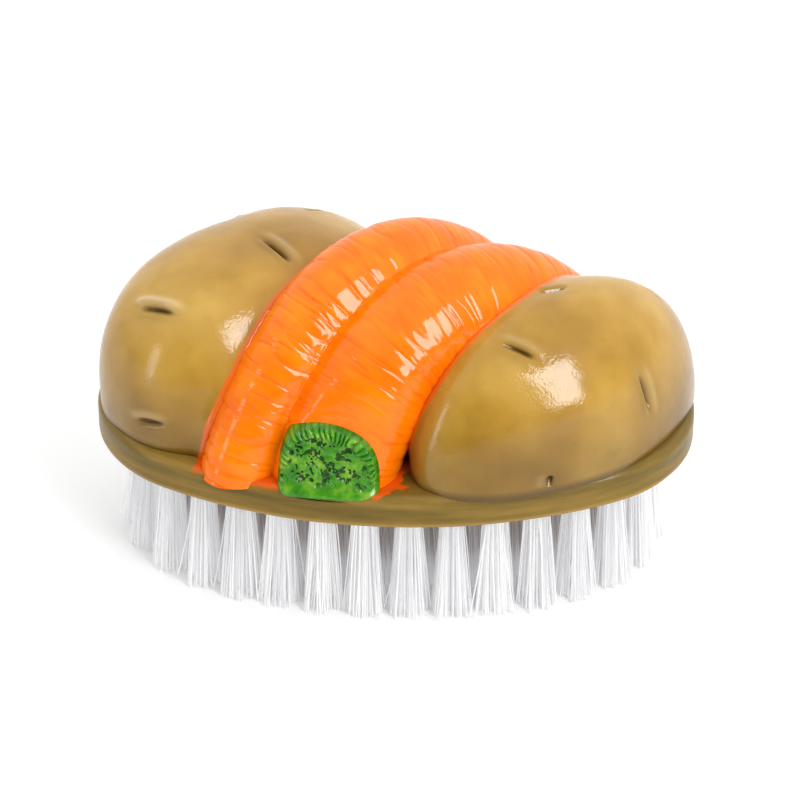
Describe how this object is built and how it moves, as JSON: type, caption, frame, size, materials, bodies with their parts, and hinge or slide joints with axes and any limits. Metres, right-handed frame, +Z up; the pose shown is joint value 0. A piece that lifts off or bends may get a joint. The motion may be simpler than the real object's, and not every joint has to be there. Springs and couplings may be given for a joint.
{
  "type": "vegetable brush",
  "caption": "Palm-held scrubbing brush: an oval cast handle shaped as potatoes and carrots over a block of nylon tufts for cleaning vegetables.",
  "frame": {"origin": "centre of the bounding box at the level of the bristle tips, on the surface that the brush stands on", "axes": "+X to the right along the length of the oval plate, +Y away from the side with the leafy crown, +Z up from the bristle tips to the handle"},
  "size_m": [0.1201, 0.075, 0.0704],
  "materials": {
    "olive_resin": "satin painted resin",
    "potato_paint": "gloss painted resin",
    "carrot_paint": "gloss painted resin",
    "crown_paint": "gloss painted resin",
    "block_plastic": "matt moulded plastic",
    "adhesive": "cured adhesive",
    "bristle_nylon": "translucent nylon",
    "anchor_wire": "flat drawn wire"
  },
  "bodies": {
    "root": {"base_plate": "olive_resin", "left_potato": "potato_paint", "right_potato": "potato_paint", "left_carrot": "carrot_paint", "right_carrot": "carrot_paint", "left_carrot_crown": "crown_paint", "right_carrot_crown": "crown_paint", "bristle_block": "block_plastic", "glue_bed": "adhesive", "outer_ring_bristles": "bristle_nylon", "second_ring_bristles": "bristle_nylon", "third_ring_bristles": "bristle_nylon", "middle_row_bristles": "bristle_nylon", "outer_ring_tuft_roots": "bristle_nylon", "second_ring_tuft_roots": "bristle_nylon", "third_ring_tuft_roots": "bristle_nylon", "middle_row_tuft_roots": "bristle_nylon", "outer_ring_anchors": "anchor_wire", "second_ring_anchors": "anchor_wire", "third_ring_anchors": "anchor_wire", "middle_row_anchors": "anchor_wire"}
  },
  "joints": []
}
